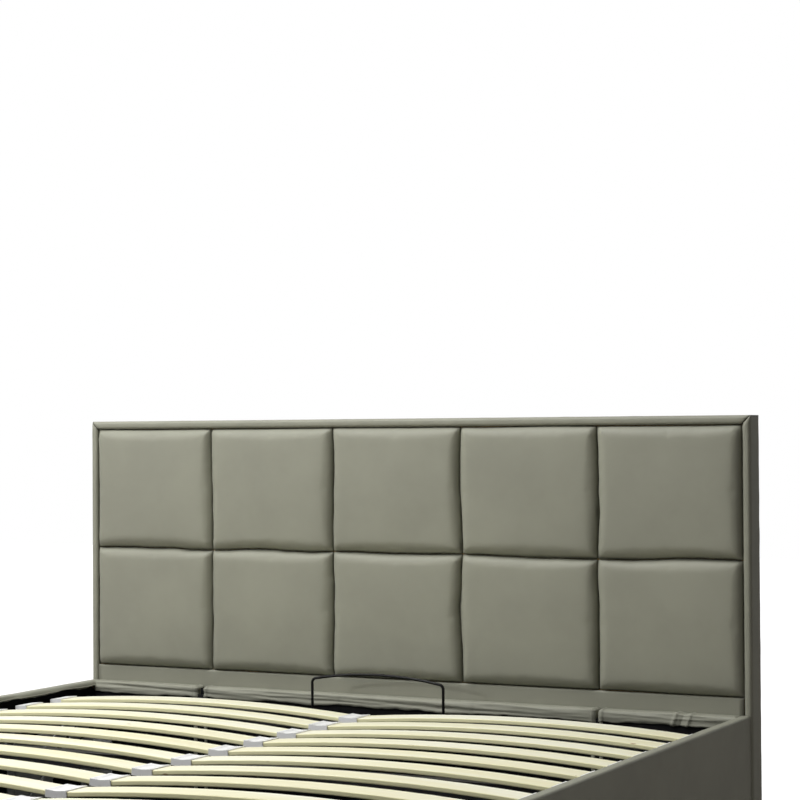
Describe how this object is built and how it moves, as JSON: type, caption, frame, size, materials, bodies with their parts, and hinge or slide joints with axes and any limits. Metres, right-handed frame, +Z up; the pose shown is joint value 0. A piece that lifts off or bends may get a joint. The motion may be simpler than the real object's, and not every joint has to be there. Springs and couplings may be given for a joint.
{
  "type": "ottoman storage bed",
  "caption": "Upholstered bed with a headboard of square pads, and a bowed-slat frame that lifts on folding side links and gas struts to open a storage floor.",
  "frame": {"origin": "on the floor under the middle of the bed's overall box", "axes": "+X across the bed to the right as seen from its foot, +Y from the foot to the headboard, +Z up"},
  "size_m": [1.626, 2.16, 0.96],
  "materials": {
    "upholstery": "smooth semi-matte coated leather cloth, warm grey-green",
    "board": "plain particle board, hidden under the covers",
    "batten": "planed softwood",
    "black_cloth": "thin black non-woven cloth",
    "floor_board": "board faced in black",
    "feet": "black plastic",
    "grey_steel": "grey powder coat",
    "zinc_steel": "zinc plated",
    "strut_black": "satin black paint",
    "strut_bright": "polished rod",
    "tube_black": "satin black powder coat",
    "wire_black": "satin black coated wire",
    "slat_wood": "pale birch plywood, lightly sealed",
    "white_plastic": "white moulded plastic",
    "webbing": "black woven webbing",
    "buffer_rubber": "black rubber"
  },
  "bodies": {
    "base": {"base_pivot_pins": "zinc_steel", "bed_feet": "feet", "corner_angles": "grey_steel", "floor_beam": "batten", "floor_ledges": "batten", "floor_panels": "floor_board", "foot_panel": "board", "foot_panel_cover": "upholstery", "frame_bolts": "zinc_steel", "head_rail_boards": "board", "head_rail_cover_centre": "upholstery", "head_rail_cover_left": "upholstery", "head_rail_cover_right": "upholstery", "headboard_back_cloth": "black_cloth", "headboard_board": "board", "headboard_border": "upholstery", "headboard_frame": "batten", "headboard_lower_panel": "upholstery", "headboard_pad_1": "upholstery", "headboard_pad_10": "upholstery", "headboard_pad_2": "upholstery", "headboard_pad_3": "upholstery", "headboard_pad_4": "upholstery", "headboard_pad_5": "upholstery", "headboard_pad_6": "upholstery", "headboard_pad_7": "upholstery", "headboard_pad_8": "upholstery", "headboard_pad_9": "upholstery", "lift_bracket_left": "grey_steel", "lift_bracket_right": "grey_steel", "rail_lining": "black_cloth", "rest_brackets": "grey_steel", "rest_buffers": "buffer_rubber", "side_rail_cover_left": "upholstery", "side_rail_cover_right": "upholstery", "side_rail_left": "board", "side_rail_right": "board", "strut_brackets": "grey_steel"},
    "rear_links": {"rear_link_left": "grey_steel", "rear_link_right": "grey_steel"},
    "lift_frame": {"upper_bracket_left": "grey_steel", "upper_bracket_right": "grey_steel", "frame_pivot_pins": "zinc_steel", "side_tubes": "tube_black", "end_tubes": "tube_black", "centre_beam": "tube_black", "cross_tubes": "tube_black", "slats_left": "slat_wood", "slats_right": "slat_wood", "slat_end_caps": "white_plastic", "slat_centre_holders": "white_plastic", "mattress_retainer": "wire_black", "pull_strap": "webbing"},
    "front_links": {"front_link_left": "grey_steel", "front_link_right": "grey_steel"},
    "strut_cylinders": {"strut_cylinder_left": "strut_black", "strut_cylinder_right": "strut_black"},
    "strut_rods": {"strut_rod_left": "strut_bright", "strut_rod_right": "strut_bright"}
  },
  "joints": [
    {"name": "lift", "type": "hinge", "parent": "base", "child": "rear_links", "pos_m": [0, 0.785, 0.204], "axis": [1, 0, 0], "range_deg": [0, 56.5]},
    {"name": "frame_tilt", "type": "hinge", "parent": "rear_links", "child": "lift_frame", "pos_m": [0, 0.924, 0.2855], "axis": [1, 0, 0], "range_deg": [-92.6, 0]},
    {"name": "front_swing", "type": "hinge", "parent": "base", "child": "front_links", "pos_m": [0, 0.721, 0.1035], "axis": [1, 0, 0], "range_deg": [0, 44.1]},
    {"name": "strut_swing", "type": "hinge", "parent": "base", "child": "strut_cylinders", "pos_m": [0, 0.42, 0.085], "axis": [1, 0, 0], "range_deg": [0, 26.85]},
    {"name": "strut_slide", "type": "slide", "parent": "strut_cylinders", "child": "strut_rods", "axis": [0, 0.8154, 0.5789], "range_m": [0, 0.0955]}
  ],
  "couplings": [
    {"joint": "frame_tilt", "follows": "lift", "ratio": -1.6372},
    {"joint": "front_swing", "follows": "lift", "ratio": 0.77857},
    {"joint": "strut_swing", "follows": "lift", "ratio": 0.4749},
    {"joint": "strut_slide", "follows": "lift", "m_per_rad": 0.096791}
  ]
}
